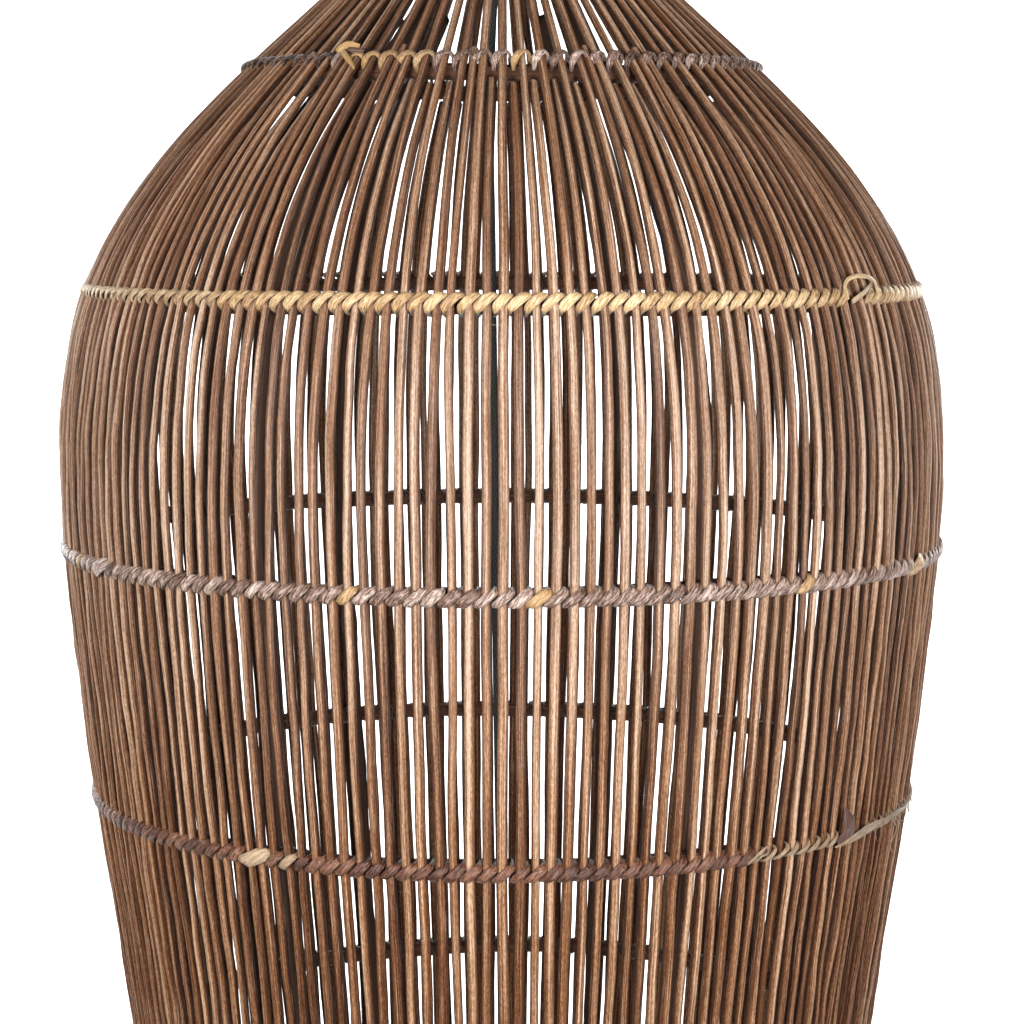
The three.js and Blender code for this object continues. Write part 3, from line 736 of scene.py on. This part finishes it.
def peel(parts, items, z0, width, thick, tone, ident, accent=0.0, taper=0.25, steps=30, sides=8):
    """A short free strip through points given as (azimuth in degrees, height above z0, distance out)."""
    p = np.array([on_shell(math.radians(azimuth), z0, -off, height)[0] for azimuth, height, off in items])
    t, fine = np.linspace(0, 1, len(p)), np.linspace(0, 1, steps)
    line = np.stack([hermite(fine, t, p[:, k]) for k in range(3)], 1)
    along = unit(np.gradient(line, axis=0))
    out = line * [1, 1, 0]
    out = unit(out - along * (out * along).sum(1, keepdims=True))
    across = np.cross(along, out)
    size = np.interp(fine, [0, 0.08, 0.6, 1], [0.7, 1, 0.85, taper])
    swept(parts, line, across, out, width / 2 * size, thick / 2 * np.maximum(size, 0.4), sides, power=0.7,
          ident=ident, tone=tone, accent=accent, inner=0.0)


def hairs(parts, z0, count, seed, low, high, length, width, accent):
    """Fine fibres that stand off a lashing at random places between two azimuths."""
    rng = np.random.default_rng(seed)
    for _ in range(count):
        at, height = rng.uniform(low, high), rng.normal(0, 0.004)
        reach, turn = length * rng.uniform(0.4, 1.2), rng.uniform(0, TAU)
        bow = rng.normal(0, 0.25) * reach
        arm = math.degrees(1 / float(radius_at(z0)[0]))
        items = [(at, height, 0.0018)]
        for f in (0.35, 0.7, 1.0):
            items.append((at + arm * (reach * f * math.cos(turn) - bow * f * f * math.sin(turn)),
                          height + reach * f * math.sin(turn) + bow * f * f * math.cos(turn),
                          0.0018 + 0.003 * f * rng.uniform(0.2, 1)))
        peel(parts, items, z0, width, width, tone=rng.uniform(0.3, 1), ident=rng.random(), accent=accent,
             steps=9, sides=5)


# Stitches round the hoop, and the azimuth where the first one starts.
FIRST = {180: PHASE, 90: PHASE - PITCH / 2, 45: PHASE - 1.5 * PITCH}
LASHINGS = {
    "neck": (GREY, "lashing_grey", 45, dict(half_width=0.0026, seed=11, deep=0.0158, lean=0.5)),
    "upper": (GREY, "lashing_grey", 90, dict(
        half_width=0.0025, seed=12, reach=0.0022, lean=0.42, bow=0.0034, drop=0.0010, stray=0.08)),
    "shoulder": (GREY, "lashing_grey", 90, dict(
        half_width=0.0029, seed=13, reach=0.0024, lean=0.43, bow=0.0042, drop=0.0012, stray=0.10,
        accents=[(-32, -13.4, 1.0)], behind=[(-35.5, -32, 1)], dim=[(-90, -37, -0.7), (25, 90, -0.3)])),
    "high": (STRAW, "lashing_straw", 180, dict(
        half_width=0.0034, seed=14, slim=[(-90, -36, 0.74)], accents=[(-90, -37, 0.22)],
        behind=[(48.9, 52.6, 1)])),
    "waist": (GREY, "lashing_grey", 180, dict(half_width=0.0034, seed=15, stray=0.10, wide=(31, 150))),
    "low": (RUSSET, "lashing_russet", 180, dict(
        half_width=0.0034, seed=16, stray=0.04, wide=(163,), slim=[(33, 91, 0.5)],
        accents=[(-33.2, -32.2, 1.0), (33, 91, 0.85)], behind=[(48.5, 56, 1)])),
    "foot": (RUSSET, "lashing_russet", 180, dict(half_width=0.0036, seed=17, stray=0.05)),
    "rim": (STRAW, "lashing_straw", 180, dict(half_width=0.0034, seed=18)),
}


def shoulder_knot(parts, z):
    """Two straw ends tucked under the first straw stitch, and a dark one behind them."""
    peel(parts, [(-36.4, 0.004, 0.002), (-35.2, 0.0075, 0.0035), (-33.8, 0.009, 0.004),
                 (-31.4, 0.0085, 0.002)],
         z, 0.0058, 0.0012, tone=0.7, accent=1.0, ident=0.11, taper=0.7)
    peel(parts, [(-34.6, 0.002, 0.0035), (-33.2, -0.001, 0.0045), (-31.4, -0.006, 0.003),
                 (-29.6, -0.012, 0.002)],
         z, 0.0050, 0.0012, tone=0.7, accent=1.0, ident=0.43, taper=0.45)
    peel(parts, [(-33.4, 0.004, 0.003), (-31.8, 0.003, 0.004), (-29.6, 0.005, 0.002)],
         z, 0.0052, 0.0012, tone=0.15, ident=0.67)


def high_loop(parts, z):
    """The straw peel's end, looped over the row and tucked back in."""
    peel(parts, [(48.4, -0.003, 0.002), (48.3, 0.006, 0.003), (49.6, 0.0105, 0.005), (52.6, 0.0105, 0.006),
                 (55.2, 0.0075, 0.004), (55.9, 0.001, 0.002)],
         z, 0.0036, 0.0013, tone=0.9, ident=0.21, taper=0.7)
    peel(parts, [(49.1, -0.0045, 0.002), (51.4, 0.000, 0.0045), (54.6, 0.0060, 0.003)],
         z, 0.0040, 0.0013, tone=0.6, accent=0.5, ident=0.57, taper=0.7)


def low_flap(parts, z):
    """Where the dark peel ends in a pointed flap and a bundle of thin pale strands takes over."""
    peel(parts, [(49.9, -0.003, 0.0022), (50.1, 0.006, 0.0045), (49.7, 0.014, 0.0048),
                 (49.2, 0.0225, 0.0030)],
         z, 0.0175, 0.0016, tone=0.15, ident=0.77, taper=0.04)
    for k in range(5):
        rise = 0.0009 * (k - 2)
        items = [(48.2 + 0.3 * k, -0.003 + rise * 0.4, 0.0025), (52.0, 0.0002 + rise, 0.0045),
                 (56.5, 0.0020 + rise * 1.3, 0.0030), (66 + k, 0.0018 - rise, 0.0026),
                 (76 + 1.5 * k, 0.0005 + rise * 2, 0.0024)]
        peel(parts, items, z, 0.0017, 0.0008, tone=0.8, accent=1.0, ident=0.13 + 0.19 * k, taper=0.35)
    for k in range(3):
        items = [(64.5 + 1.6 * k, 0.000, 0.0024), (66.2 + k, -0.008, 0.004), (64.2 + 2 * k, -0.017, 0.0045),
                 (66.8 + k, -0.026 + 0.003 * k, 0.003)]
        peel(parts, items, z, 0.0008, 0.0006, tone=0.8, accent=1.0, ident=0.23 + 0.17 * k, taper=0.3)
    peel(parts, [(32.4, -0.003, 0.002), (33.6, 0.004, 0.0045), (34.8, 0.008, 0.005), (35.0, 0.003, 0.004),
                 (34.0, 0.001, 0.003)],
         z, 0.0020, 0.0009, tone=0.8, accent=0.8, ident=0.91, taper=0.6)
    hairs(parts, z, 46, 71, 58, 92, 0.011, 0.0005, 1.0)


LOOSE_ENDS = {"shoulder": shoulder_knot, "high": high_loop, "low": low_flap}
for name, (material, slot, count, settings) in LASHINGS.items():
    z = HOOPS[name]
    parts = lashing(z, count, FIRST[count], **settings)
    if name in LOOSE_ENDS:
        LOOSE_ENDS[name](parts, z)
    hairs(parts, z, 36, 80 + count + int(1000 * abs(z)), -180, 180, 0.009, 0.00030, 0.3)
    dress(parts.build(f"{name}_lashing_peel"), material, slot, "shade", f"{name}_lashing")


# ---- turned fittings ------------------------------------------------------------------------------
def turned(name, profile, material, slot, body, node, segments=72, bevel_from=35):
    """A solid of revolution; profile is [radius, height] in millimetres, and closes on itself.

    Edges sharper than bevel_from degrees get a small round.
    """
    p = np.asarray(profile, float) / 1000
    n = len(p)
    a = ring_angles(segments)
    verts = np.stack([p[None, :, 0] * np.cos(a)[:, None], p[None, :, 0] * np.sin(a)[:, None],
                      np.broadcast_to(p[None, :, 1], (segments, n))], -1).reshape(-1, 3)
    obj = piece(name, verts, grid_quads(segments, n, wrap_rows=True))
    bpy.context.view_layer.objects.active = obj
    weld = obj.modifiers.new("weld", "WELD")
    weld.merge_threshold = 1e-6
    bevel = obj.modifiers.new("bevel", "BEVEL")
    bevel.width, bevel.segments = 0.0003, 2
    bevel.limit_method, bevel.angle_limit = "ANGLE", math.radians(bevel_from)
    with bpy.context.temp_override(object=obj, active_object=obj, selected_objects=[obj]):
        bpy.ops.object.modifier_apply(modifier="weld")
        bpy.ops.object.modifier_apply(modifier="bevel")
    me = obj.data
    me.polygons.foreach_set("use_smooth", np.full(len(me.polygons), True))
    face_outward(me)
    return dress(obj, material, slot, body, node)


def face_outward(me):
    bm = bmesh.new()
    bm.from_mesh(me)
    bmesh.ops.recalc_face_normals(bm, faces=bm.faces)
    bm.to_mesh(me)
    bm.free()


turned("rose_cup_shell", [
    [5.3, -30], [30, -30], [38, -28.9], [44, -26], [48, -21.5], [50, -17], [50, 0], [48.6, 0], [48.6, -16.5],
    [46.8, -20.6], [43.2, -24.7], [37.5, -27.5], [29.8, -28.6], [5.3, -28.6]],
    BLACK_METAL, "black_metal", "rose", "rose_cup", 120)
turned("rose_grip_boot", [
    [3.3, -50], [5.6, -50], [6.6, -48.4], [7.4, -46], [8.0, -42], [8.2, -38], [8.2, -30.3], [5, -30.3],
    [5, -22], [3.3, -22]],
    BLACK, "black_plastic", "rose", "rose_cord_grip")
turned("neck_grip_boot", [
    [3.3, -279], [5, -279], [5, -270.3], [9, -270.3], [9, -260], [8.6, -254], [7.6, -248], [6, -244],
    [3.3, -244]],
    BLACK, "black_plastic", "shade", "neck_grip")
turned("holder_grip_boot", [
    [3.3, -1076], [5, -1076], [5, -1069.7], [8, -1069.7], [8, -1064], [7.2, -1060], [6, -1058], [3.3, -1058]],
    BLACK, "black_plastic", "holder", "holder_grip")
turned("holder_cap_shell", [
    [5.3, -1070], [12, -1070], [16, -1071.6], [19, -1074], [20.6, -1078], [21, -1082], [21, -1085],
    [20.5, -1085.5], [20.5, -1086.2], [21, -1086.7], [21, -1090], [18.4, -1090], [18.4, -1082.5], [17, -1076],
    [11.5, -1072.2], [5.3, -1072.2]],
    BLACK, "black_plastic", "holder", "holder_cap", 96)
turned("holder_skirt", [
    [14.2, -1124], [20, -1124], [20.6, -1120], [20.2, -1118.6], [20.2, -1117.9], [20.6, -1117], [20.6, -1100],
    [20.1, -1099.4], [20.1, -1098.4], [20.6, -1097.8], *([20.6, -1090.3 - 0.55 * k] for k in (3, 2, 1, 0)),
    [18.1, -1090.3], [18.1, -1091.4], [14.2, -1091.4]],
    BLACK, "black_plastic", "holder", "holder_shell", 96)

GLASS_WALL = 0.8
GLASS_OUT = [
    [12.2, -1124.4], [12.8, -1129], [14.2, -1134.5], [17, -1140.5], [20, -1145.6], [23.8, -1152],
    [27, -1158.4], [29.2, -1165], [30, -1171.5], [29.7, -1178], [28, -1185.5], [24.8, -1192], [20, -1197.6],
    [15, -1201], [9, -1203.4], [4, -1204.3], [0, -1204.5]]
GLASS_IN = [[max(r - GLASS_WALL, 0), z + GLASS_WALL] for r, z in GLASS_OUT[::-1]]
turned("lamp_bulb_glass", GLASS_OUT + GLASS_IN, GLASS, "lamp_glass", "lamp", "lamp_glass", 96, 80)

# One turn of the E27 thread, as radius and drop in millimetres.
THREAD_PITCH, THREAD_TURNS, THREAD_TOP, THREAD_FOOT = 3.62, 6, -1101, -1123.6
THREAD_TURN = [[12.2, 0], [12.5, 0.7], [13.0, 1.4], [13.1, 1.8], [13.0, 2.2], [12.5, 2.9]]
thread = [[r, THREAD_TOP - THREAD_PITCH * k - down] for k in range(THREAD_TURNS) for r, down in THREAD_TURN]
thread = [point for point in thread if point[1] > THREAD_FOOT]
turned("lamp_screw_cap", [
    [5, -1100.6], [9, -1100.6], [11.2, -1100.9], *thread, [12.2, -1124], [11.2, -1124], [11.2, -1103],
    [5, -1101.6]],
    BRASS, "brass", "lamp", "lamp_cap", 72, 60)

# CAD pieces that are seen as they are, in order, with their material and slot.
PLAIN = {
    "ceiling_bracket": (STEEL, "steel"),
    "terminal_block": (CERAMIC, "ceramic"),
    "rose_screw_left": (BRASS, "brass"),
    "rose_screw_right": (BRASS, "brass"),
    "rose_grip_nut": (STEEL, "steel"),
    "neck_grip_nut": (STEEL, "steel"),
    "neck_plate": (STEEL, "steel"),
    "holder_insert": (CERAMIC, "ceramic"),
    "holder_contact": (BRASS, "brass"),
    "lamp_contact": (BRASS, "brass"),
    "lamp_stem": (CERAMIC, "ceramic"),
    "rose_cord": (BRAID, "cord_textile"),
    "upper_cord_bend": (BRAID, "cord_textile"),
    "lower_cord_bend": (BRAID, "cord_textile"),
}
for node, (material, slot) in PLAIN.items():
    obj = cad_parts[node]
    obj.data.materials.clear()
    obj.data.materials.append(material)


# ---- floor, backdrop and light --------------------------------------------------------------------
FLOOR_GLOW = 0.42


def stage_material(name, low, high):
    m = Nodes(name)
    cloud = object_noise(m, 1.7, 3)
    # The floor looks as pale from behind as it does in front, and throws no extra light on the lamp.
    seen = m.new("ShaderNodeLightPath").outputs["Is Camera Ray"]
    m.put(m.shader.inputs["Emission Color"], (*low, 1))
    m.put(m.shader.inputs["Emission Strength"], m.math("MULTIPLY", seen, FLOOR_GLOW))
    return m.finish(m.mix(cloud, low, high), 0.9, None, 0.1)


# The section of the floor and the wall behind, as (y, z), drawn out from side to side.
wall = [(-6, -3.0), (-2, -3.0), (3.2, -3.0), (4.6, -2.7), (5.4, -1.9), (5.7, -0.8), (5.8, 5.0)]
n = len(wall)
floor = piece("floor", [(x, y, z) for x in (-9.0, 9.0) for y, z in wall],
              [[k, n + k, n + k + 1, k + 1] for k in range(n - 1)])
floor.data.materials.append(stage_material("backdrop", (0.90, 0.91, 0.92), (0.93, 0.93, 0.94)))


def softbox(name, location, target, size, power, color=(1, 1, 1)):
    lamp = bpy.data.lights.new(name, "AREA")
    lamp.shape, lamp.size, lamp.size_y = "RECTANGLE", size[0], size[1]
    lamp.energy, lamp.color = power, color
    obj = bpy.data.objects.new(name, lamp)
    obj.location = location
    obj.rotation_euler = (Vector(target) - Vector(location)).to_track_quat("-Z", "Y").to_euler()
    bpy.context.scene.collection.objects.link(obj)


softbox("front_left", (-0.52, -1.55, -0.50), (0, 0, -0.57), (0.30, 0.42), 25.5, (0.99, 0.985, 1))
softbox("front_right", (0.60, -1.50, -0.50), (0, 0, -0.57), (0.30, 0.42), 22, (0.99, 0.985, 1))
softbox("side_left", (-1.5, -1.15, -0.44), (0, 0, -0.60), (0.35, 0.7), 11.8, (1, 0.95, 0.90))
softbox("side_right", (1.5, -1.15, -0.44), (0, 0, -0.62), (0.35, 0.7), 10.6, (1, 0.96, 0.93))
softbox("back_left", (-1.2, 1.6, -0.45), (0, 0, -0.65), (0.5, 0.9), 11, (1, 0.985, 0.965))
softbox("back_right", (1.2, 1.6, -0.45), (0, 0, -0.65), (0.5, 0.9), 10, (1, 0.985, 0.965))
softbox("wall_light", (0, 2.2, 1.6), (0, 5.6, -0.9), (5, 1.5), 520)

# A faint warm fill lights the lamp, and the camera sees a pale sky instead of it.
world = bpy.data.worlds.new("studio")
world.use_nodes = True
tree = world.node_tree
fill = tree.nodes["Background"]
fill.inputs["Color"].default_value = (1, 0.95, 0.90, 1)
fill.inputs["Strength"].default_value = 0.13
backdrop = tree.nodes.new("ShaderNodeBackground")
backdrop.inputs["Color"].default_value = (0.84, 0.85, 0.87, 1)
chosen = tree.nodes.new("ShaderNodeMixShader")
tree.links.new(tree.nodes.new("ShaderNodeLightPath").outputs["Is Camera Ray"], chosen.inputs["Fac"])
tree.links.new(fill.outputs[0], chosen.inputs[1])
tree.links.new(backdrop.outputs[0], chosen.inputs[2])
tree.links.new(chosen.outputs[0], tree.nodes["World Output"].inputs["Surface"])
bpy.context.scene.world = world
